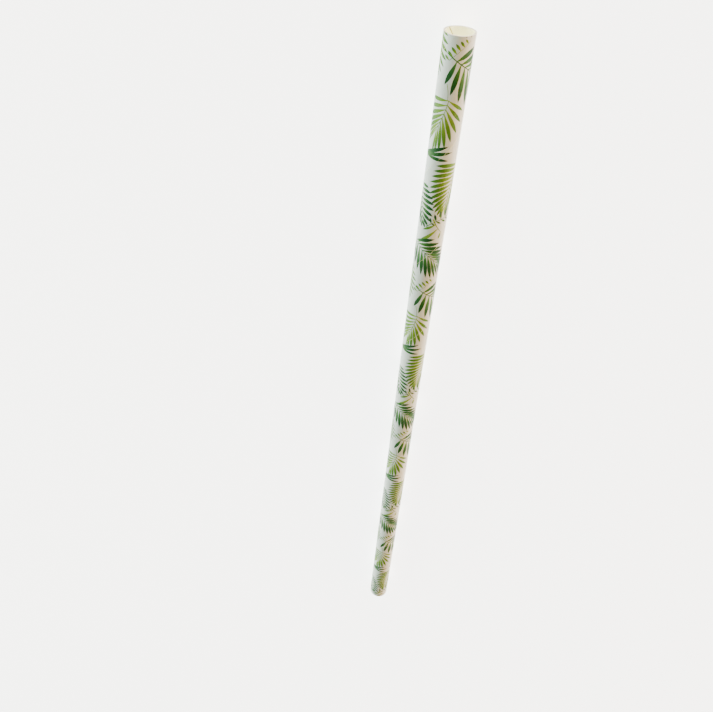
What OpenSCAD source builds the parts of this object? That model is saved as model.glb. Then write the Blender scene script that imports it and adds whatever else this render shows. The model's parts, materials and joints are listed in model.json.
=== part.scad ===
// Paper drinking straw: strips of paper wound in a spiral and glued into one stiff tube.
// The tube lies along X on the plane z = 0, with its middle at the origin.

/* [Straw] */
// Length of the straw between its two cut ends
straw_length = 197; // [120:1:260]
// Outer diameter of the straw
outer_diameter = 6; // [5.6:0.1:9]

/* [Paper] */
// Width of the strips of paper that are wound into the wall
strip_width = 14.7; // [11.2:0.1:16.5]
// Thickness of the printed strip on the outside
outer_ply = 0.05; // [0.04:0.01:0.1]
// Thickness of the plain strip in the middle of the wall
middle_ply = 0.17; // [0.1:0.01:0.2]
// Thickness of the plain strip on the inside
inner_ply = 0.18; // [0.1:0.01:0.2]

/* [Seams] */
// Gap between the edges of the printed strip, measured square to the seam
outer_gap = 0.1; // [0.05:0.05:0.3]
// Gap between the edges of the inner strip, measured square to the seam
inner_gap = 0.3; // [0.1:0.05:0.5]
// Place of the outer seam round the far end, in degrees
outer_seam_angle = 30; // [0:5:355]
// Place of the inner seam round the far end, in degrees
inner_seam_angle = 270; // [0:5:355]

/* [Hidden] */
// Facets of the round walls in a preview
wall_facets = 128;
// Steps in one turn of a seam
seam_steps = 30;
// How far a seam's cutter reaches past the paper that it parts
cutter_reach = 0.3;

outer_radius = outer_diameter / 2;
outer_ply_bottom = outer_radius - outer_ply;
inner_ply_top = outer_ply_bottom - middle_ply;
bore_radius = inner_ply_top - inner_ply;

// A strip laid edge to edge crosses the tube at a slant, so one turn of it
// takes up the whole way round: the strip's width sets the slant and the lead.
way_round = PI * outer_diameter;
slant = acos(strip_width / way_round);
lead = strip_width / sin(slant);

// Degrees that one step of a seam turns
step_angle = 360 / seam_steps;
// The cutter is straight from step to step, so its corners for the outer gap stand higher
// by this much of the radius, and half way between them it just reaches the printed strip's back
corner_rise = 1 / cos(step_angle / 2);
// A seam starts before one end and stops after the other, so that it runs out through both
first_step = -1;
last_step = ceil(straw_length / lead * seam_steps) + 1;

// Half a gap as it lies along the tube
function half_gap_along(gap) = gap / sin(slant) / 2;

// Corners of the cutter at one step, in a plane through the tube's axis
function cutter_corners(step, start, low, high, gap) =
    let (turn = start + step * step_angle)
    let (along = step * lead / seam_steps)
    let (half = half_gap_along(gap))
    [
        [low * cos(turn), low * sin(turn), along - half],
        [low * cos(turn), low * sin(turn), along + half],
        [high * cos(turn), high * sin(turn), along + half],
        [high * cos(turn), high * sin(turn), along - half]
    ];

// A gap between two edges of a strip: a thin square rod wound in a right-hand spiral
module spiral_gap(start, low, high, gap) {
    corners = [
        for (step = [first_step : last_step])
            each cutter_corners(step, start, low, high, gap)
    ];
    rings = last_step - first_step;
    sides = [
        for (ring = [0 : rings - 1])
            for (side = [0 : 3])
                let (here = ring * 4 + side)
                let (beside = ring * 4 + (side + 1) % 4)
                each [[here, beside + 4, beside], [here, here + 4, beside + 4]]
    ];
    start_cap = [[0, 1, 2], [0, 2, 3]];
    end_cap = [for (face = [[2, 1, 0], [3, 2, 0]]) [for (corner = face) corner + rings * 4]];
    polyhedron(points = corners, faces = concat(sides, start_cap, end_cap));
}

// The glued wall, standing on its far end
module wall() {
    difference() {
        cylinder(h = straw_length, r = outer_radius, $fn = wall_facets);
        translate([0, 0, -1])
            cylinder(h = straw_length + 2, r = bore_radius, $fn = wall_facets);
        spiral_gap(outer_seam_angle, outer_ply_bottom * corner_rise, outer_radius + cutter_reach, outer_gap);
        spiral_gap(inner_seam_angle, bore_radius - cutter_reach, inner_ply_top, inner_gap);
    }
}

module straw() {
    color("honeydew")
        translate([-straw_length / 2, 0, outer_radius])
            rotate([0, 90, 0])
                wall();
}

straw();
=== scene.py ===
"""Looks of a paper drinking straw: three strips of paper wound in a spiral, the outer one with palm fronds.

Sizes are in millimetres until a mesh is wound, and then in metres in the frame's own axes: the straw lies
along X on the plane z = 0 with its middle at the origin, and its open end, the mouth, is at +X.
"""

import json
import logging
import math
from dataclasses import dataclass, field
from enum import Enum

import bpy
import numpy as np
from mathutils import Matrix, Vector
from mathutils.geometry import delaunay_2d_cdt


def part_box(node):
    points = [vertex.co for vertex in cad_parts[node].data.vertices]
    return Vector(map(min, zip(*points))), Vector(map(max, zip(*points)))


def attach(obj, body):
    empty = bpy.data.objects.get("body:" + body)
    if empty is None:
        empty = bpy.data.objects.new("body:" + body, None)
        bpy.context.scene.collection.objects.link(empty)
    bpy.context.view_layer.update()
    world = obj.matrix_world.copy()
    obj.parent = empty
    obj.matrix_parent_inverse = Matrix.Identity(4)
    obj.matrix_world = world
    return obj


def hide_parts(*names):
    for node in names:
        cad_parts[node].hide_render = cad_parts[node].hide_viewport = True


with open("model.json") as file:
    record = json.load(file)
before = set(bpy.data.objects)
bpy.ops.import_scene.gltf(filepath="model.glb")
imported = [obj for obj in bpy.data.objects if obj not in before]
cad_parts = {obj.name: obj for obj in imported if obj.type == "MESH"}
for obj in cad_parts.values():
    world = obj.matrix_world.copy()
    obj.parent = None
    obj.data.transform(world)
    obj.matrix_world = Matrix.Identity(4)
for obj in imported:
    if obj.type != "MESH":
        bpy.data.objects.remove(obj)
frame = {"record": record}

log = logging.getLogger("straw")

MM = 0.001
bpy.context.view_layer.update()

# Places on the flat sheet nearer than this are one, in millimetres
SAME_PLACE = 1e-6
# How near two cuts in the printed sheet may come before they meet, in millimetres
CUT_MEETS = 1e-5
# A face whose normal lies along the straw by this much is a cut end
CUT_END = 0.99
# A face whose normal points out of the flat sheet by this much is its front or back
FACE_OUT = 0.5

# A leaflet's half width at parts of its length, as parts of the greatest one
BLADE_PARTS = (0.0, 0.12, 0.28, 0.45, 0.62, 0.78, 0.9, 1.0)
BLADE_WIDTHS = (0.16, 0.36, 0.72, 0.96, 1.0, 0.78, 0.42, 0.0)
# Where a leaflet's heading is the one that its row gives, and where its room is measured
BLADE_TURN, BLADE_MIDDLE = 0.3, 0.55
# The width that the shortest leaflets keep, as a part of the longest ones' width
SHORT_WIDTH = 0.45
# How much of the room between two leaflets is ink, and the least width of a leaflet in millimetres
ROOM_FILLED, LEAST_WIDTH = 0.96, 0.4
# A leaflet shorter than this isn't drawn, in millimetres
LEAST_LENGTH = 0.5
# Where on the rib the last leaflets grow, and where the rib's ribbon ends
LAST_LEAFLET, RIB_END = 0.97, 0.98
# The rib's half width at its tip in millimetres, the corners on each of its sides, and how light its ink is
RIB_TIP, RIB_CORNERS, RIB_TONE = 0.04, 7, 0.42
# Steps by which a bent rib is followed
RIB_STEPS = 12

# The bake's layout: the margin beside all faces, and those of the sheet's front and back in their rows
BAKE_MARGIN, FRONT_MARGIN, BACK_MARGIN, BACK_SHARE = 0.003, 0.01, 0.02, 0.88
# The strip's long edges and its cut ends in the back's row: where they start, how far apart, how high
RIM_START, RIM_APART, RIM_SHARE = 0.92, 0.04, 0.03


def linear(hex_colour: str, alpha: float = 1.0) -> tuple[float, float, float, float]:
    """Turn an sRGB colour into linear values.

    Args:
        hex_colour: The colour as "#RRGGBB".
        alpha: The fourth value.

    Returns:
        Red, green, blue and alpha, linear, from 0 to 1.
    """
    values = [int(hex_colour[i : i + 2], 16) / 255 for i in (1, 3, 5)]
    return tuple(v / 12.92 if v <= 0.04045 else ((v + 0.055) / 1.055) ** 2.4 for v in values) + (alpha,)


def deselect_all() -> None:
    """Leave nothing selected."""
    for item in bpy.context.selected_objects:
        item.select_set(False)


def make_active(item: bpy.types.Object) -> None:
    """Select one object alone, for the operators that follow.

    Args:
        item: The object.
    """
    deselect_all()
    item.select_set(True)
    bpy.context.view_layer.objects.active = item


def apply_modifier(item: bpy.types.Object, name: str, kind: str, **settings: object) -> None:
    """Add a modifier and apply it at once.

    Args:
        item: The object that it changes.
        name: What the step is in the making of the straw.
        kind: The modifier's type.
        settings: Its properties.
    """
    make_active(item)
    modifier = item.modifiers.new(name, kind)
    for key, value in settings.items():
        setattr(modifier, key, value)
    bpy.ops.object.modifier_apply(modifier=modifier.name)


class Ink(Enum):
    """The two inks of the print, with the slot that each has in the printed strip."""

    DARK = 1
    LIME = 2


class Side(Enum):
    """The sides of a frond's rib on which leaflets grow."""

    LEFT = 1
    RIGHT = -1


@dataclass(frozen=True)
class Shape:
    """One closed field of ink on the flat print."""

    points: np.ndarray
    ink: Ink
    root: np.ndarray
    reach: np.ndarray
    tone: float

    def shifted(self, by: np.ndarray) -> "Shape":
        """The same field moved over the print."""
        return Shape(self.points + by, self.ink, self.root + by, self.reach, self.tone)


def heading(degrees: float) -> np.ndarray:
    """A unit vector on the print: 0 runs down the straw from its mouth, and 90 runs round to its right."""
    return np.array([math.cos(math.radians(degrees)), math.sin(math.radians(degrees))])


def between(values: tuple[float, float, float], part: float) -> float:
    """A smooth change through three values.

    Args:
        values: What it is at the start, half way and at the end.
        part: The part of the way, from 0 to 1.

    Returns:
        The value there.
    """
    start, middle, end = values
    pull = 2 * middle - (start + end) / 2
    return start * (1 - part) ** 2 + 2 * pull * part * (1 - part) + end * part**2


@dataclass(frozen=True)
class Row:
    """The leaflets on one side of a rib, each given at the rib's root, half way and at its tip.

    Lengths are in millimetres. Angles are how far the leaflets open from the rib, in degrees. The curl is
    how far a leaflet turns on its way towards the rib's tip, or away from it below zero.
    """

    lengths: tuple[float, float, float]
    angles: tuple[float, float, float] = (72.0, 44.0, 16.0)
    curl: float = 12.0


@dataclass(frozen=True)
class Frond:
    """A palm frond: a thin rib with slim leaflets on both sides, which lean forward towards its tip.

    Places are in millimetres down the straw from the mouth and round it, and the turn and bend in degrees.
    """

    ink: Ink
    root: tuple[float, float]
    turn: float
    bend: float
    length: float
    pairs: int
    left: Row
    right: Row
    width: float = 0.8
    stalk: float = 0.08
    rib_width: float = 0.22

    def rib(self, part: float) -> tuple[np.ndarray, float]:
        """Where the rib is, and which way it runs.

        Args:
            part: The part of its length, from 0 at the root to 1 at the tip.

        Returns:
            The place and the heading in degrees.
        """
        place = np.array(self.root, dtype=float)
        for step in range(RIB_STEPS):
            at = self.turn + self.bend * part * (step + 0.5) / RIB_STEPS
            place = place + heading(at) * self.length * part / RIB_STEPS
        return place, self.turn + self.bend * part

    def rib_shape(self) -> Shape:
        """Draw the rib as a thin ribbon that tapers to its tip.

        Returns:
            Its outline.
        """
        thick = self.rib_width / 2
        left, right = [], []
        for part in np.linspace(0.0, RIB_END, RIB_CORNERS):
            place, turn = self.rib(float(part))
            half = thick + (RIB_TIP - thick) * part
            left.append(place + heading(turn + 90) * half)
            right.append(place - heading(turn + 90) * half)
        root = np.array(self.root, dtype=float)
        tip, _ = self.rib(1.0)
        return Shape(np.array(right + left[::-1]), self.ink, root, tip - root, RIB_TONE)

    def row(self, side: Side) -> Row:
        """The leaflets on one side of the rib."""
        return self.left if side is Side.LEFT else self.right

    def blade(self, part: float, side: Side) -> tuple[np.ndarray, float, float]:
        """Where a leaflet stands.

        Args:
            part: Where it grows, from 0 at the first leaflet to 1 at the last.
            side: The side of the rib.

        Returns:
            The place on the rib, the heading in degrees and the length.
        """
        row = self.row(side)
        place, turn = self.rib(self.stalk + (LAST_LEAFLET - self.stalk) * part)
        return place, turn + side.value * between(row.angles, part), between(row.lengths, part)

    def room(self, part: float, side: Side) -> float:
        """How far a leaflet is from the next one, where it is widest.

        Args:
            part: Where it grows, from 0 at the first leaflet to 1 at the last.
            side: The side of the rib.

        Returns:
            The distance, measured square to the leaflet.
        """
        step = 1 / max(self.pairs - 1, 1)
        beside = part + step if part + step < 1 + step / 2 else part - step
        place, start, length = self.blade(part, side)
        next_place, next_start, next_length = self.blade(beside, side)
        middle = place + heading(start) * length * BLADE_MIDDLE
        next_middle = next_place + heading(next_start) * next_length * BLADE_MIDDLE
        return abs(float((next_middle - middle) @ heading(start + 90)))

    def leaflet(self, part: float, side: Side, tone: float) -> Shape:
        """One leaflet: a slim blade, widest past its middle and pointed at its tip.

        Args:
            part: Where it grows, from 0 at the first leaflet to 1 at the last.
            side: The side of the rib.
            tone: How light its ink is.

        Returns:
            Its outline.
        """
        row = self.row(side)
        place, start, length = self.blade(part, side)
        slimness = min(1.0, SHORT_WIDTH + (1 - SHORT_WIDTH) * length / max(row.lengths))
        widest = min(self.width * slimness, max(ROOM_FILLED * self.room(part, side), LEAST_WIDTH))
        left, right = [], []
        point = place
        before = 0.0
        for at, breadth in zip(BLADE_PARTS, BLADE_WIDTHS):
            way = start - side.value * row.curl * (at - BLADE_TURN)
            point = point + heading(way) * length * (at - before)
            before = at
            half = breadth * widest / 2
            left.append(point + heading(way + 90) * half)
            right.append(point - heading(way + 90) * half)
        return Shape(np.array(right + left[-2::-1]), self.ink, place, point - place, tone)

    def shapes(self, tones: np.random.Generator) -> list[Shape]:
        """All its fields of ink, from the lowest to the topmost.

        Args:
            tones: Where each leaflet's tone is drawn from.

        Returns:
            The leaflets and the rib.
        """
        made = []
        for i in range(self.pairs):
            part = i / max(self.pairs - 1, 1)
            for side in Side:
                tone = float(tones.uniform(0.0, 1.0))
                if between(self.row(side).lengths, part) > LEAST_LENGTH:
                    made.append(self.leaflet(part, side, tone))
        made.append(self.rib_shape())
        return made


BARE = Row((0.0, 0.0, 0.0))


@dataclass(frozen=True)
class FrondPrint:
    """The print: fronds in two greens, which come again after one repeat down the straw and once round it.

    Each frond has its ink, root, turn, bend, length and pairs of leaflets, its left and right rows, and then
    the leaflets' width, the bare part of its rib and the rib's width.
    """

    repeat: float = 52.0
    seed: int = 7
    fronds: tuple[Frond, ...] = (
        # The side that faces up, from the mouth on
        Frond(Ink.LIME, (0.8, 2.4), -46, 0, 5.2, 6, BARE,
              Row((1.0, 1.6, 1.3), (92, 90, 80), 0), 0.5, 0.12, 0.06),
        Frond(Ink.DARK, (3.1, -1.7), 58, 0, 10.5, 9, Row((4.4, 5.0, 2.8), (64, 26, 10), 4),
              Row((4.8, 6.9, 3.6), (79, 44, 20), -4), 1.05, 0.22, 0.24),
        Frond(Ink.LIME, (8.5, -1.0), 22, -24, 3.1, 0, BARE, BARE, rib_width=0.14),
        Frond(Ink.LIME, (11.4, -0.2), -8, -16, 6.4, 8, Row((3.9, 6.1, 5.4), (68, 33, 20), 6),
              Row((4.4, 4.8, 4.2), (79, 39, 12), 5), 0.8, 0.02, 0.14),
        Frond(Ink.DARK, (23.3, -5.2), 96, 0, 0.6, 3, Row((6.9, 7.1, 6.1), (19, 7, -8), 4),
              BARE, 0.8, 0.1, 0.12),
        Frond(Ink.LIME, (24.6, 5.1), -28, 24, 10.2, 12, Row((3.0, 3.8, 2.4), (60, 40, 16), 6),
              Row((5.8, 5.2, 2.6), (72, 54, 24), 22), 0.86, 0.05, 0.14),
        Frond(Ink.DARK, (29.2, -4.5), 12, 4, 9.0, 9, Row((2.6, 3.6, 1.9), (80, 62, 16), 10),
              Row((2.4, 3.0, 1.8), (60, 44, 20), 6), 0.84, 0.08, 0.16),
        Frond(Ink.DARK, (39.0, -1.2), 140, -66, 7.4, 7, Row((1.0, 2.1, 2.2), (56, 84, 70), 0),
              Row((0.5, 1.6, 2.4), (60, 50, 34), 6), 0.54, 0.04, 0.18),
        Frond(Ink.LIME, (36.9, 0.2), 22, 22, 3.9, 3, BARE,
              Row((3.2, 6.6, 1.8), (86, 80, 54), -6), 0.8, 0.36, 0.32),
        Frond(Ink.DARK, (42.8, -4.4), 56, -10, 9.6, 10, Row((5.0, 5.5, 2.8), (56, 27, 10), 12),
              Row((4.4, 6.5, 2.4), (60, 40, 14), -2), 0.9, 0.1, 0.14),
        Frond(Ink.LIME, (49.4, -6.3), 8, 1, 8.4, 8, Row((3.8, 4.5, 2.8), (66, 54, 28), 6),
              Row((3.0, 3.6, 2.4), (57, 39, 17), 6), 0.76, 0.06, 0.14),
        # The side that faces down
        Frond(Ink.DARK, (14.6, -7.2), 175, 7, 8.6, 9, Row((2.9, 3.7, 2.0), (68, 40, 14), 8),
              Row((2.7, 3.6, 2.0), (71, 40, 14), 8), 0.65, 0.08, 0.15),
        Frond(Ink.LIME, (14.6, 9.1), -9, -9, 10.4, 10, Row((3.2, 4.4, 2.6), (69, 37, 16), 8),
              Row((3.2, 4.0, 2.4), (81, 46, 20), -4), 0.62, 0.05, 0.12),
        Frond(Ink.DARK, (28.4, -8.9), 18, -11, 8.6, 8, Row((2.3, 2.9, 1.9), (68, 42, 18), 4),
              Row((3.7, 4.3, 2.5), (60, 37, 12), 6), 0.68, 0.08, 0.15),
        Frond(Ink.DARK, (36.6, 5.6), 34, -10, 8.8, 9, Row((3.2, 3.9, 2.2), (77, 41, 11), 8),
              Row((3.6, 4.4, 2.3), (52, 32, 7), -6), 0.68, 0.08, 0.15),
        Frond(Ink.LIME, (39.6, -6.6), -10, -9, 8.8, 8, Row((2.6, 3.7, 2.3), (71, 39, 14), 8),
              Row((2.8, 3.5, 2.1), (77, 43, 15), 8), 0.58, 0.05, 0.12),
        Frond(Ink.LIME, (48.6, 8.4), -8, 9, 7.4, 8, Row((2.7, 3.5, 2.2), (71, 39, 14), 8),
              Row((2.6, 3.4, 2.2), (77, 41, 14), 8), 0.58, 0.06, 0.12),
    )

    def shapes(self) -> list[Shape]:
        """Draw the fronds of one repeat.

        Returns:
            Their fields of ink, from the lowest to the topmost.
        """
        tones = np.random.default_rng(self.seed)
        made: list[Shape] = []
        for frond in self.fronds:
            made += frond.shapes(tones)
        return made


@dataclass(frozen=True)
class Winding:
    """How strips lie on the straw: edge to edge, so that one turn of a strip takes up the whole way round."""

    length: float
    radius: float
    strip_width: float

    @property
    def way_round(self) -> float:
        """Once round the outside."""
        return 2 * math.pi * self.radius

    @property
    def slant(self) -> float:
        """The angle between a strip's edge and the straw's axis, in radians."""
        return math.acos(self.strip_width / self.way_round)

    @property
    def lead(self) -> float:
        """How far a seam climbs in one turn."""
        return self.strip_width / math.sin(self.slant)


@dataclass
class Strip:
    """A strip of paper, made flat and then wound.

    Flat places are the reach round the straw from its lowest line and the way along from its far end.
    The flat mesh has X along the straw, Y as the depth below its outside and Z as the reach, turned round.
    The facet is the angle between two creases, in degrees. The bake's rows are the heights in the unit square
    between which the front lies, and then the back with the edges. The cuts are the front's rows.
    """

    name: str
    winding: Winding
    seam_angle: float
    gap: float
    depth: float
    thickness: float
    facet: float = 6.0
    bake_rows: tuple[float, float, float, float] = (0.0, 0.1, 0.1, 0.2)
    bake_cuts: int = 1
    materials: list[bpy.types.Material] = field(default_factory=list)

    @property
    def half_gap(self) -> float:
        """Half the gap at a seam, as it lies round the straw."""
        return self.gap / math.cos(self.winding.slant) / 2

    def edge_reach(self, along: float, far: bool) -> float:
        """The reach of one of the strip's two long edges.

        Args:
            along: The way along from the straw's far end.
            far: Whether the edge is the one with the greater reach.

        Returns:
            The reach round the straw.
        """
        start = math.radians(self.seam_angle) * self.winding.radius
        at_seam = start + along * self.winding.way_round / self.winding.lead
        return at_seam - self.half_gap if far else at_seam - self.winding.way_round + self.half_gap

    def reaches(self) -> np.ndarray:
        """Find the creases between facets, over the whole strip.

        Returns:
            Their reaches round the straw.
        """
        step = math.radians(self.facet) * self.winding.radius
        low = math.floor(self.edge_reach(0.0, False) / step)
        high = math.ceil(self.edge_reach(self.winding.length, True) / step)
        return np.arange(low, high + 1) * step

    def lay_flat(self) -> bpy.types.Object:
        """Make the strip as a flat grid, and cut its two long edges on the slant.

        Returns:
            The flat sheet, with no thickness yet.
        """
        reaches = self.reaches()
        bpy.ops.mesh.primitive_grid_add(x_subdivisions=1, y_subdivisions=len(reaches) - 1, size=1)
        sheet = bpy.context.object
        sheet.name = self.name
        sheet.rotation_euler = (math.pi / 2, 0, 0)
        sheet.scale = (self.winding.length, reaches[-1] - reaches[0], 1)
        sheet.location = (0, self.depth, -(reaches[0] + reaches[-1]) / 2)
        bpy.ops.object.transform_apply(location=True, rotation=True, scale=True)
        bpy.ops.object.mode_set(mode="EDIT")
        climb = math.atan2(self.winding.lead, self.winding.way_round)
        for far in (False, True):
            bpy.ops.mesh.select_all(action="SELECT")
            on_edge = (-self.winding.length / 2, self.depth, -self.edge_reach(0.0, far))
            across = (-math.cos(climb), 0, -math.sin(climb))
            bpy.ops.mesh.bisect(
                plane_co=on_edge, plane_no=across, clear_inner=not far, clear_outer=far, threshold=SAME_PLACE
            )
        bpy.ops.object.mode_set(mode="OBJECT")
        return sheet

    def thicken(self, sheet: bpy.types.Object) -> None:
        """Give the flat sheet the paper's thickness, inwards from its face."""
        apply_modifier(sheet, "paper thickness", "SOLIDIFY", thickness=self.thickness, offset=-1)

    def lay_out(self, sheet: bpy.types.Object) -> None:
        """Lay the strip's faces out in the unit square for the bake, and in millimetres for its fibres.

        Args:
            sheet: The thick flat strip.
        """
        mesh = sheet.data
        for name in ("paper_mm", "OFBake"):
            mesh.uv_layers.new(name=name)
        count = len(mesh.loops)
        place = np.empty(len(mesh.vertices) * 3)
        mesh.vertices.foreach_get("co", place)
        place = place.reshape(-1, 3)
        corner = np.empty(count, dtype=np.int64)
        mesh.loops.foreach_get("vertex_index", corner)
        face_of = np.repeat(np.arange(len(mesh.polygons)), [p.loop_total for p in mesh.polygons])
        normal = np.empty(len(mesh.polygons) * 3)
        mesh.polygons.foreach_get("normal", normal)
        normal = normal.reshape(-1, 3)[face_of]
        centre = np.empty(len(mesh.polygons) * 3)
        mesh.polygons.foreach_get("center", centre)
        centre = centre.reshape(-1, 3)[face_of]
        length, round_ = self.winding.length, self.winding.way_round

        def spread(points: np.ndarray) -> tuple[np.ndarray, np.ndarray]:
            """Find the parts of the way along the straw and across the strip.

            Args:
                points: Places on the flat strip.

            Returns:
                The parts along and the parts across, from 0 to 1.
            """
            along = points[:, 0] + length / 2
            start = self.edge_reach(0.0, False)
            across = -points[:, 2] - start - along * round_ / self.winding.lead
            return along / length, across / (round_ - 2 * self.half_gap)

        at = place[corner]
        along, across = spread(at)
        mid_along, _ = spread(centre)
        deep = (at[:, 1] - self.depth) / self.thickness
        front, back = normal[:, 1] < -FACE_OUT, normal[:, 1] > FACE_OUT
        cut_end = np.abs(normal[:, 0]) > CUT_END
        side = ~(front | back | cut_end)
        cuts = self.bake_cuts
        row = np.clip(np.floor(mid_along * cuts), 0, cuts - 1)
        low, high, back_low, back_high = self.bake_rows
        u, v = along.copy(), across.copy()
        u[front] = (along * cuts - row)[front]
        v[front] = (low + (high - low) * (row + FRONT_MARGIN + (1 - 2 * FRONT_MARGIN) * across) / cuts)[front]
        back_row = back_high - back_low
        v[back] = (back_low + back_row * (BACK_MARGIN + BACK_SHARE * across))[back]
        rim = back_low + back_row * RIM_START
        v[side] = (rim + RIM_SHARE * back_row * deep)[side]
        u[cut_end] = across[cut_end]
        v[cut_end] = (rim + back_row * (RIM_APART + RIM_SHARE * deep))[cut_end]
        uv = np.stack([BAKE_MARGIN + (1 - 2 * BAKE_MARGIN) * u, v], axis=1)
        mesh.uv_layers["OFBake"].data.foreach_set("uv", uv.ravel())
        lie = math.pi / 2 - self.winding.slant
        reach, way = -at[:, 2], at[:, 0]
        with_fibres = reach * math.cos(lie) + way * math.sin(lie)
        over_fibres = -reach * math.sin(lie) + way * math.cos(lie)
        fibres = np.stack([with_fibres, over_fibres], axis=1)
        mesh.uv_layers["paper_mm"].data.foreach_set("uv", fibres.ravel())

    def wind(self, sheet: bpy.types.Object) -> None:
        """Bend the flat strip round the straw's axis, and set it in the frame in metres.

        Args:
            sheet: The thick flat strip.
        """
        heights = [v.co.z for v in sheet.data.vertices]
        whole = (max(heights) - min(heights)) / self.winding.radius
        apply_modifier(sheet, "wind", "SIMPLE_DEFORM", deform_method="BEND", deform_axis="X", angle=whole)
        sheet.rotation_euler = (math.pi / 2, 0, 0)
        sheet.scale = (MM, MM, MM)
        make_active(sheet)
        bpy.ops.object.transform_apply(location=True, rotation=True, scale=True)

    def dress(self, sheet: bpy.types.Object) -> None:
        """Give the strip its paper, and its cut ends their own finish.

        Args:
            sheet: The thick flat strip.
        """
        plain, cut = self.materials
        for material in (plain, cut):
            sheet.data.materials.append(material)
        for face in sheet.data.polygons:
            face.material_index = 1 if abs(face.normal.x) > CUT_END else 0

    def build(self) -> bpy.types.Object:
        """Make the strip, from the flat sheet to the wound one.

        Returns:
            The wound strip, in metres in the frame.
        """
        sheet = self.lay_flat()
        self.thicken(sheet)
        self.lay_out(sheet)
        self.dress(sheet)
        self.wind(sheet)
        log.info("%s: %d faces", self.name, len(sheet.data.polygons))
        return sheet


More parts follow.
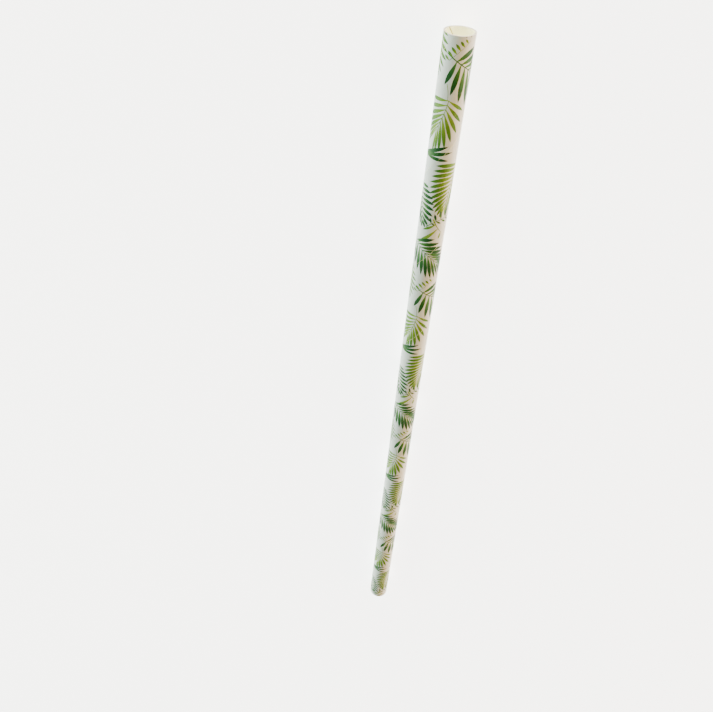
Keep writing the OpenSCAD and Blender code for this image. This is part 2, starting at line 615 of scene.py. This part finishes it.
@dataclass
class PrintedStrip(Strip):
    """The outer strip. The print is cut into its flat sheet, so each field of ink has faces of its own."""

    design: FrondPrint = field(default_factory=FrondPrint)

    def outline(self) -> list[tuple[float, float]]:
        """Draw the strip's flat outline, with a corner at each crease between facets.

        Returns:
            Its corners, each as reach and way along.
        """
        length, rise = self.winding.length, self.winding.lead / self.winding.way_round
        edges = []
        for far in (True, False):
            start, end = self.edge_reach(0.0, far), self.edge_reach(length, far)
            inside = [r for r in self.reaches() if start + SAME_PLACE < r < end - SAME_PLACE]
            line = [(start, 0.0)] + [(r, (r - start) * rise) for r in inside] + [(end, length)]
            edges.append(line)
        return edges[0] + edges[1][::-1]

    def crease_ends(self, reach: float) -> tuple[float, float]:
        """Find how far along a crease runs over the strip, from one of its edges to the other.

        Args:
            reach: The crease's reach round the straw.

        Returns:
            The way along at its two ends.
        """
        length, rise = self.winding.length, self.winding.lead / self.winding.way_round
        low = (reach - self.edge_reach(0.0, True)) * rise
        high = (reach - self.edge_reach(0.0, False)) * rise
        return max(0.0, low), min(length, high)

    def placed_shapes(self) -> list[Shape]:
        """Repeat the print's fields of ink wherever they touch the flat strip.

        Returns:
            The fields in their places, as reach and way along.
        """
        length, round_ = self.winding.length, self.winding.way_round
        lowest, highest = self.edge_reach(0.0, False), self.edge_reach(length, True)
        placed = []
        for shape in self.design.shapes():
            for tile in range(-1, int(length / self.design.repeat) + 2):
                for turn in range(int(lowest / round_) - 2, int(highest / round_) + 3):
                    moved = shape.shifted(np.array([tile * self.design.repeat, turn * round_]))
                    along = length - moved.points[:, 0]
                    reach = moved.points[:, 1] + round_ / 2
                    if along.max() < 0 or along.min() > length:
                        continue
                    low = min(self.edge_reach(float(a), False) for a in (along.min(), along.max()))
                    high = max(self.edge_reach(float(a), True) for a in (along.min(), along.max()))
                    if reach.max() < low or reach.min() > high:
                        continue
                    root = np.array([moved.root[1] + round_ / 2, length - moved.root[0]])
                    way = np.array([moved.reach[1], -moved.reach[0]])
                    points = np.stack([reach, along], axis=1)
                    if signed_area(points) < 0:
                        points = points[::-1]
                    placed.append(Shape(points, moved.ink, root, way, moved.tone))
        return placed

    def crease_lines(self) -> list[tuple[tuple[float, float], tuple[float, float]]]:
        """Find the creases between facets, and the line between the bake's two rows.

        Returns:
            The two ends of each, as reach and way along.
        """
        half_way = self.winding.length / 2
        lines = []
        for reach in self.reaches():
            low, high = self.crease_ends(float(reach))
            if high - low > SAME_PLACE:
                stops = sorted({low, high} | ({half_way} if low < half_way < high else set()))
                lines += [((float(reach), a), (float(reach), b)) for a, b in zip(stops, stops[1:])]
        ends = [(self.edge_reach(half_way, far), half_way) for far in (False, True)]
        return lines + [(ends[0], ends[1])]

    def cut_sheet(self, shapes: list[Shape]) -> tuple[list[Vector], list[tuple[list[int], int]]]:
        """Cut the creases and the print's outlines into the strip, in code because no operator cuts outlines.

        Args:
            shapes: The fields of ink on the strip.

        Returns:
            The corners, and each triangle with the number of the field on top of it, or -1 on bare paper.
        """
        corners = self.outline()
        points: list[tuple[float, float]] = list(corners)
        faces = [list(range(len(corners)))]
        index_of = {(round(r, 6), round(a, 6)): i for i, (r, a) in enumerate(corners)}

        def index(place: tuple[float, float]) -> int:
            """Find the corner at a place, or add one if there is none.

            Args:
                place: The reach and the way along.

            Returns:
                The corner's number.
            """
            key = (round(place[0], 6), round(place[1], 6))
            if key not in index_of:
                index_of[key] = len(points)
                points.append(place)
            return index_of[key]

        edges = [(index(start), index(end)) for start, end in self.crease_lines()]
        for shape in shapes:
            first = len(points)
            points += [(float(r), float(a)) for r, a in shape.points]
            faces.append(list(range(first, len(points))))
        made = delaunay_2d_cdt([Vector(p) for p in points], edges, faces, 1, CUT_MEETS)
        verts, _, triangles, _, _, owners = made
        return verts, [(t, max(o) - 1) for t, o in zip(triangles, owners) if 0 in o]

    def lay_flat(self) -> bpy.types.Object:
        """Make the strip as a flat sheet with the print cut into it, and note each face's ink and tone.

        Returns:
            The flat sheet, with no thickness yet.
        """
        shapes = self.placed_shapes()
        verts, kept = self.cut_sheet(shapes)
        mesh = bpy.data.meshes.new(self.name)
        half_way = self.winding.length / 2
        mesh.from_pydata([(v.y - half_way, self.depth, -v.x) for v in verts], [], [t for t, _ in kept])
        sheet = bpy.data.objects.new(self.name, mesh)
        bpy.context.collection.objects.link(sheet)
        mesh.attributes.new("leaf_shade", "FLOAT", "CORNER")
        mesh.attributes.new("leaf_tone", "FLOAT", "FACE")
        shades = np.zeros(len(mesh.loops))
        tones = np.zeros(len(kept))
        slots = np.zeros(len(kept), dtype=np.int32)
        for i, (face, top) in enumerate(kept):
            if top < 0:
                continue
            shape = shapes[top]
            slots[i] = shape.ink.value
            tones[i] = shape.tone
            long_ = float(shape.reach @ shape.reach)
            for j, vertex in enumerate(face):
                offset = np.array(verts[vertex]) - shape.root
                shades[i * 3 + j] = float(offset @ shape.reach) / long_
        mesh.attributes["leaf_shade"].data.foreach_set("value", np.clip(shades, 0, 1))
        mesh.attributes["leaf_tone"].data.foreach_set("value", tones)
        mesh.polygons.foreach_set("material_index", slots)
        mesh.update()
        make_active(sheet)
        bpy.ops.object.mode_set(mode="EDIT")
        bpy.ops.mesh.select_all(action="SELECT")
        bpy.ops.mesh.delete_loose()
        bpy.ops.object.mode_set(mode="OBJECT")
        return sheet

    def dress(self, sheet: bpy.types.Object) -> None:
        """Give the printed face its paper and inks, and the rest its plain paper and cut ends.

        Args:
            sheet: The thick flat strip.
        """
        for material in self.materials:
            sheet.data.materials.append(material)
        plain, cut = len(self.materials) - 2, len(self.materials) - 1
        for face in sheet.data.polygons:
            if abs(face.normal.x) > CUT_END:
                face.material_index = cut
            elif face.normal.y > -FACE_OUT:
                face.material_index = plain


def signed_area(points: np.ndarray) -> float:
    """Twice the area inside an outline, and below zero if it runs clockwise."""
    x, y = points[:, 0], points[:, 1]
    return float(np.sum(x * np.roll(y, -1) - y * np.roll(x, -1)))


def add_node(
    tree: bpy.types.NodeTree,
    kind: str,
    links: dict[str | int, bpy.types.NodeSocket] | None = None,
    values: dict[str | int, object] | None = None,
    **settings: object,
) -> bpy.types.Node:
    """Add a node to a material with its settings and links.

    Args:
        tree: The material's nodes.
        kind: The node's type.
        links: Sockets that feed the node's inputs, by the input's name or number.
        values: Numbers and colours of its inputs, by the input's name or number.
        settings: The node's own properties.

    Returns:
        The node.
    """
    node = tree.nodes.new(kind)
    for key, value in settings.items():
        setattr(node, key, value)
    for key, value in (values or {}).items():
        node.inputs[key].default_value = value
    for key, socket in (links or {}).items():
        tree.links.new(socket, node.inputs[key])
    return node


def new_material(name: str) -> tuple[bpy.types.Material, bpy.types.NodeTree]:
    """Start a material with no nodes.

    Args:
        name: What the surface is.

    Returns:
        The material and its nodes.
    """
    material = bpy.data.materials.new(name)
    material.use_nodes = True
    material.node_tree.nodes.clear()
    return material, material.node_tree


@dataclass(frozen=True)
class PaperFinish:
    """Machine-made paper: matt, faintly cloudy from uneven fibres, with a fine grain along the strip.

    The glow is painted light: an even emission that stands for the light that comes through a thin wall of
    it.
    """

    name: str
    light: str
    shade: str
    roughness: float
    grain_mm: float = 0.55
    grain_stretch: float = 0.3
    cloud_mm: float = 5.0
    grain_depth_mm: float = 0.012
    glow: float = 0.0

    def fibre_height(self, tree: bpy.types.NodeTree) -> bpy.types.NodeSocket:
        """Draw out noise along the strip, as the fibres lie. It is coarser than real fibres, so as to show.

        Args:
            tree: The material's nodes.

        Returns:
            The height of the paper's grain.
        """
        place = add_node(tree, "ShaderNodeUVMap", uv_map="paper_mm")
        stretch = add_node(
            tree,
            "ShaderNodeMapping",
            links={"Vector": place.outputs["UV"]},
            values={"Scale": (self.grain_stretch / self.grain_mm, 1 / self.grain_mm, 1)},
        )
        grain = add_node(
            tree,
            "ShaderNodeTexNoise",
            links={"Vector": stretch.outputs["Vector"]},
            values={"Scale": 1.0, "Detail": 3.0, "Roughness": 0.6},
        )
        return grain.outputs["Fac"]

    def clouds(self, tree: bpy.types.NodeTree) -> bpy.types.NodeSocket:
        """Change the tone slowly over a few millimetres.

        Args:
            tree: The material's nodes.

        Returns:
            How light the paper is.
        """
        place = add_node(tree, "ShaderNodeTexCoord")
        cloud = add_node(
            tree,
            "ShaderNodeTexNoise",
            links={"Vector": place.outputs["Object"]},
            values={"Scale": 1 / (self.cloud_mm * MM), "Detail": 2.0},
        )
        return cloud.outputs["Fac"]

    def finish(
        self, tree: bpy.types.NodeTree, colour: bpy.types.NodeSocket, height: bpy.types.NodeSocket
    ) -> None:
        """Close the material with its shader, bump and output.

        Args:
            tree: The material's nodes.
            colour: What feeds the base colour.
            height: What feeds the bump.
        """
        bump = add_node(
            tree,
            "ShaderNodeBump",
            links={"Height": height},
            values={"Strength": 0.5, "Distance": self.grain_depth_mm * MM},
        )
        shader = add_node(
            tree,
            "ShaderNodeBsdfPrincipled",
            links={"Base Color": colour, "Normal": bump.outputs["Normal"]},
            values={"Roughness": self.roughness, "IOR": 1.45, "Specular IOR Level": 0.2},
        )
        # Painted light: the paper glows evenly in its own light colour, in place of light let through the
        # thin wall
        if self.glow > 0:
            shader.inputs["Emission Color"].default_value = linear(self.light)
            shader.inputs["Emission Strength"].default_value = self.glow
        add_node(tree, "ShaderNodeOutputMaterial", links={"Surface": shader.outputs["BSDF"]})

    def paper_colour(self, tree: bpy.types.NodeTree) -> bpy.types.NodeSocket:
        """Mix the bare paper's colour from its light and its shade.

        Args:
            tree: The material's nodes.

        Returns:
            The colour.
        """
        mix = add_node(
            tree,
            "ShaderNodeMix",
            links={0: self.clouds(tree)},
            values={6: linear(self.shade), 7: linear(self.light)},
            data_type="RGBA",
        )
        return mix.outputs[2]

    def build(self) -> bpy.types.Material:
        """Make the material.

        Returns:
            The material, with its nodes.
        """
        material, tree = new_material(self.name)
        self.finish(tree, self.paper_colour(tree), self.fibre_height(tree))
        return material


@dataclass(frozen=True)
class InkFinish(PaperFinish):
    """Ink printed from a roller. It takes the paper's grain, and each leaflet runs from light to deep.

    The light, middle and deep tones lie along a leaflet from its base, and the shade is the paper's tint
    where the ink is thin. The spread is how much a leaflet's own tone moves them.
    """

    deep: str = "#0C3C17"
    middle: str = "#154F1C"
    middle_at: float = 0.4
    deep_at: float = 0.85
    tone_spread: float = 0.28
    thin_grain: tuple[float, float] = (0.62, 0.8)
    thin_most: float = 0.3

    def build(self) -> bpy.types.Material:
        """Make the material.

        Returns:
            The material, with its nodes.
        """
        material, tree = new_material(self.name)
        shade = add_node(tree, "ShaderNodeAttribute", attribute_name="leaf_shade")
        tone = add_node(tree, "ShaderNodeAttribute", attribute_name="leaf_tone")
        moved = add_node(
            tree,
            "ShaderNodeMath",
            links={0: tone.outputs["Fac"], 2: shade.outputs["Fac"]},
            values={1: -self.tone_spread},
            operation="MULTIPLY_ADD",
        )
        ramp = add_node(tree, "ShaderNodeValToRGB", links={"Fac": moved.outputs[0]})
        stops = ramp.color_ramp.elements
        stops[0].position, stops[0].color = 0.0, linear(self.light)
        stops[1].position, stops[1].color = self.deep_at, linear(self.deep)
        middle = stops.new(self.middle_at)
        middle.color = linear(self.middle)
        grain = self.fibre_height(tree)
        low, high = self.thin_grain
        patchy = add_node(
            tree,
            "ShaderNodeMapRange",
            links={"Value": grain},
            values={"From Min": low, "From Max": high, "To Min": 0.0, "To Max": self.thin_most},
        )
        thin = add_node(
            tree,
            "ShaderNodeMix",
            links={0: patchy.outputs["Result"], 6: ramp.outputs["Color"]},
            values={7: linear(self.shade)},
            data_type="RGBA",
        )
        self.finish(tree, thin.outputs[2], grain)
        return material


@dataclass(frozen=True)
class CutFinish(PaperFinish):
    """The knife-cut ends of the glued plies: fuzzy cream paper, with a darker glue line at each joint."""

    glue: str = "#B9AE92"
    axis_height_mm: float = 3.0
    joints_mm: tuple[float, ...] = ()
    joint_width_mm: float = 0.03

    def build(self) -> bpy.types.Material:
        """Make the material.

        Returns:
            The material, with its nodes.
        """
        material, tree = new_material(self.name)
        place = add_node(tree, "ShaderNodeTexCoord")
        centred = add_node(
            tree,
            "ShaderNodeMapping",
            links={"Vector": place.outputs["Object"]},
            values={"Location": (0, 0, -self.axis_height_mm * MM)},
        )
        flat = add_node(
            tree,
            "ShaderNodeVectorMath",
            links={0: centred.outputs["Vector"]},
            values={1: (0, 1, 1)},
            operation="MULTIPLY",
        )
        radius = add_node(tree, "ShaderNodeVectorMath", links={0: flat.outputs["Vector"]}, operation="LENGTH")
        colour = self.paper_colour(tree)
        for joint in self.joints_mm:
            line = add_node(
                tree,
                "ShaderNodeMath",
                links={0: radius.outputs["Value"]},
                values={1: joint * MM, 2: self.joint_width_mm * MM},
                operation="COMPARE",
            )
            mix = add_node(
                tree,
                "ShaderNodeMix",
                links={0: line.outputs[0], 6: colour},
                values={7: linear(self.glue)},
                data_type="RGBA",
            )
            colour = mix.outputs[2]
        self.finish(tree, colour, self.fibre_height(tree))
        return material


@dataclass
class PaperStraw:
    """The whole straw: an inner, a middle and a printed outer strip, glued into one tube.

    Sizes are in millimetres, and the seams' places are degrees round the far end from its lowest point. The
    glue is the least distance between two plies. Creases flatter than a number of degrees are shaded round.
    """

    length: float
    radius: float
    bore: float
    strip_width: float = 14.7
    printed_ply: float = 0.05
    middle_ply: float = 0.17
    printed_gap: float = 0.03
    inner_gap: float = 0.3
    middle_gap: float = 0.05
    printed_seam: float = 30.0
    middle_seam: float = 140.0
    inner_seam: float = 270.0
    glue: float = 0.004
    round_below: float = 30.0

    def papers(self) -> dict[str, bpy.types.Material]:
        """Make the straw's papers and inks.

        Returns:
            Their materials, by name.
        """
        inner_joint = self.radius - self.printed_ply - self.middle_ply
        finishes = {
            # Bleached paper, pressed smooth between rollers: a cool matt white with hardly a sheen
            "white": PaperFinish("bleached_paper", "#D6DADB", "#CCD1D1", 0.62),
            # Water-based ink, laid on by a roller: flat fields, a little thin where the paper's grain is low
            "dark": InkFinish(
                "green_ink_on_paper", "#3E6E2E", "#A3BE92", 0.55, deep="#0C3C17", middle="#154F1C"
            ),
            "lime": InkFinish(
                "lime_ink_on_paper", "#7A9630", "#C0D090", 0.55, deep="#31641F", middle="#547C22"
            ),
            # Plain core paper: creamier than the printed one, and bright inside from a painted glow that
            # stands for the light coming through the thin wall
            "plain": PaperFinish("plain_core_paper", "#FFFDD9", "#F5F1C6", 0.7, glow=0.6),
            # The same paper under its dried glue, seen only through the seams' gaps: darker and smoother, and
            # its darker tone also paints the shade in those gaps
            "glued": PaperFinish("glued_core_paper_seam_shade", "#CFC8A6", "#BFB692", 0.5),
            # Paper cut by a turning knife: fuzzy and matt
            "cut": CutFinish(
                "knife_cut_paper_edge",
                "#F1EADB",
                "#DDD3BE",
                0.8,
                axis_height_mm=self.radius,
                joints_mm=(inner_joint, self.radius - self.printed_ply),
            ),
        }
        return {name: finish.build() for name, finish in finishes.items()}

    def strips(self) -> list[Strip]:
        """Size the three strips, each with its papers.

        Returns:
            The strips, from the outside in.
        """
        paper = self.papers()
        winding = Winding(self.length, self.radius, self.strip_width)
        inner_depth = self.printed_ply + self.middle_ply
        inner_ply = self.radius - self.bore - inner_depth
        return [
            PrintedStrip(
                "printed_strip",
                winding,
                self.printed_seam,
                self.printed_gap,
                0.0,
                self.printed_ply - self.glue,
                bake_rows=(0.0, 0.56, 0.56, 0.62),
                bake_cuts=2,
                materials=[paper[name] for name in ("white", "dark", "lime", "plain", "cut")],
            ),
            Strip(
                "middle_strip",
                winding,
                self.middle_seam,
                self.middle_gap,
                self.printed_ply,
                self.middle_ply - self.glue,
                bake_rows=(0.62, 0.66, 0.66, 0.70),
                # Its darker paper shows only in the seams' gaps, where it is painted shade as well as glued
                # paper
                materials=[paper["glued"], paper["cut"]],
            ),
            Strip(
                "inner_strip",
                winding,
                self.inner_seam,
                self.inner_gap,
                inner_depth,
                inner_ply,
                bake_rows=(0.70, 0.74, 0.74, 1.0),
                materials=[paper["plain"], paper["cut"]],
            ),
        ]

    def build(self) -> bpy.types.Object:
        """Make the strips, join them into one piece and smooth its round faces.

        Returns:
            The straw.
        """
        made = [strip.build() for strip in self.strips()]
        deselect_all()
        for sheet in made:
            sheet.select_set(True)
        bpy.context.view_layer.objects.active = made[0]
        bpy.ops.object.join()
        straw = bpy.context.object
        straw.name = "paper_straw"
        bpy.ops.object.shade_smooth_by_angle(angle=math.radians(self.round_below))
        return straw


@dataclass(frozen=True)
class Lamp:
    """A soft square lamp that points at the straw's middle.

    Its place and the length of its side are in metres, and its power is in watts.
    """

    name: str
    place: tuple[float, float, float]
    size: float
    power: float
    colour: str

    def build(self) -> bpy.types.Object:
        """Set the lamp up.

        Returns:
            The lamp.
        """
        data = bpy.data.lights.new(self.name, "AREA")
        data.shape = "SQUARE"
        data.size = self.size
        data.energy = self.power
        data.color = linear(self.colour)[:3]
        item = bpy.data.objects.new(self.name, data)
        bpy.context.collection.objects.link(item)
        item.location = self.place
        item.rotation_mode = "QUATERNION"
        item.rotation_quaternion = (-Vector(self.place)).to_track_quat("-Z", "Y")
        return item


@dataclass
class Studio:
    """The floor, the light and the camera, which stands as the photograph's does.

    Pixels are places in the photograph. Distances from the camera are in millimetres, and the floor's size
    and the nearest and farthest things in view are in metres. The walls fade into the dim ceiling between two
    heights, each the upward part of the view.
    """

    image_width: int = 713
    image_height: int = 712
    focal_px: float = 690.0
    mouth_px: tuple[float, float] = (460.2, 30.8)
    far_end_px: tuple[float, float] = (378.5, 588.8)
    mouth_distance: float = 122.7
    far_end_distance: float = 256.4
    sensor_mm: float = 36.0
    in_sight: tuple[float, float] = (0.01, 20.0)
    floor_size: float = 16.0
    floor_gap_mm: float = 0.02
    floor_cloud_mm: float = 111.0
    floor_light: str = "#F8F8F7"
    floor_shade: str = "#F4F4F3"
    floor_glow: float = 5.0
    warm_wall: str = "#FFD793"
    cool_wall: str = "#DFF1DE"
    wall_glow: float = 3.4
    ceiling_glow: float = 0.05
    wall_fades: tuple[float, float] = (0.12, 0.62)
    side_reach: float = 0.8
    lamps: tuple[Lamp, ...] = (
        Lamp("key_over_the_mouth", (0.9, 0.0, 0.75), 0.8, 2.5, "#FFFBF4"),
        Lamp("cool_side", (0.0, 0.7, 0.16), 0.5, 7.0, "#E6FFE4"),
        Lamp("warm_side", (0.0, -0.7, 0.16), 0.5, 8.0, "#FFC468"),
    )

    def in_view(self, pixel: tuple[float, float], distance: float) -> Vector:
        """A place as the camera sees it, in metres: right, up and back.

        Args:
            pixel: The place in the photograph.
            distance: How far in front of the camera it is, in millimetres.

        Returns:
            The place in the camera's own axes.
        """
        right = (pixel[0] - self.image_width / 2) / self.focal_px * distance
        up = (self.image_height / 2 - pixel[1]) / self.focal_px * distance
        return Vector((right, up, -distance)) * MM

    def camera(self, mouth: Vector) -> bpy.types.Object:
        """Set the camera where the straw's two ends fall as they do in the photograph.

        Args:
            mouth: The middle of the straw's mouth in the frame.

        Returns:
            The camera.
        """
        near = self.in_view(self.mouth_px, self.mouth_distance)
        far = self.in_view(self.far_end_px, self.far_end_distance)
        along = (near - far).normalized()
        to_camera = -((near + far) / 2).normalized()
        up = (to_camera - along * to_camera.dot(along)).normalized()
        side = up.cross(along)
        turned = Matrix((along, side, up))
        data = bpy.data.cameras.new("camera")
        data.sensor_width = self.sensor_mm
        data.lens = self.focal_px / self.image_width * self.sensor_mm
        data.clip_start, data.clip_end = self.in_sight
        item = bpy.data.objects.new("camera", data)
        bpy.context.collection.objects.link(item)
        item.rotation_mode = "QUATERNION"
        item.rotation_quaternion = turned.to_quaternion()
        item.location = mouth - turned @ near
        bpy.context.scene.camera = item
        return item

    def floor(self) -> bpy.types.Object:
        """Lay a plain pale floor of painted board, lit evenly from itself, just under the straw.

        Returns:
            The floor.
        """
        bpy.ops.mesh.primitive_plane_add(size=self.floor_size, location=(0, 0, -self.floor_gap_mm * MM))
        item = bpy.context.object
        item.name = "floor"
        bpy.ops.object.transform_apply(location=True, rotation=True, scale=True)
        material, tree = new_material("pale_painted_board")
        place = add_node(tree, "ShaderNodeTexCoord")
        soft = add_node(
            tree,
            "ShaderNodeTexNoise",
            links={"Vector": place.outputs["Object"]},
            values={"Scale": 1 / (self.floor_cloud_mm * MM), "Detail": 2.0},
        )
        mix = add_node(
            tree,
            "ShaderNodeMix",
            links={0: soft.outputs["Fac"]},
            values={6: linear(self.floor_shade), 7: linear(self.floor_light)},
            data_type="RGBA",
        )
        shader = add_node(
            tree,
            "ShaderNodeBsdfPrincipled",
            links={"Base Color": mix.outputs[2]},
            values={
                "Roughness": 0.9,
                "Emission Color": linear("#FFFFFF"),
                "Emission Strength": self.floor_glow,
            },
        )
        add_node(tree, "ShaderNodeOutputMaterial", links={"Surface": shader.outputs["BSDF"]})
        item.data.materials.append(material)
        return item

    def light(self) -> None:
        """Soft light: a lamp beyond the mouth, a cool one on the left and a warm one on the right.

        Pale walls stand all round under a dim ceiling, and are tinted as the side lamps are.
        """
        for lamp in self.lamps:
            lamp.build()
        world = bpy.data.worlds.new("surround")
        world.use_nodes = True
        tree = world.node_tree
        shade = tree.nodes["Background"]
        view = add_node(tree, "ShaderNodeTexCoord")
        way = add_node(tree, "ShaderNodeSeparateXYZ", links={0: view.outputs["Generated"]})
        low, high = self.wall_fades
        height = add_node(
            tree,
            "ShaderNodeMapRange",
            links={"Value": way.outputs["Z"]},
            values={"From Min": low, "From Max": high, "To Min": self.wall_glow, "To Max": self.ceiling_glow},
            interpolation_type="SMOOTHSTEP",
        )
        sides = add_node(
            tree,
            "ShaderNodeMapRange",
            links={"Value": way.outputs["Y"]},
            values={"From Min": -self.side_reach, "From Max": self.side_reach},
        )
        tint = add_node(
            tree,
            "ShaderNodeMix",
            links={0: sides.outputs["Result"]},
            values={6: linear(self.warm_wall), 7: linear(self.cool_wall)},
            data_type="RGBA",
        )
        tree.links.new(tint.outputs[2], shade.inputs["Color"])
        tree.links.new(height.outputs["Result"], shade.inputs["Strength"])
        bpy.context.scene.world = world


def main() -> None:
    """Build the straw and its studio, and report each piece."""
    logging.basicConfig(level=logging.INFO, format="%(message)s")
    low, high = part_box("straw")
    mounts = {mount["name"]: mount for mount in frame["record"]["mounts"]}
    straw = PaperStraw(
        length=(high[0] - low[0]) / MM,
        radius=(high[2] - low[2]) / MM / 2,
        bore=mounts["bore"]["dims"]["r_mm"],
    )
    deselect_all()
    piece = straw.build()
    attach(piece, "root")
    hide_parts("straw")
    log.info("%s: %d faces", piece.name, len(piece.data.polygons))
    studio = Studio()
    studio.floor()
    studio.light()
    studio.camera(Vector((high[0], 0.0, (low[2] + high[2]) / 2)))


if __name__ == "__main__":
    main()
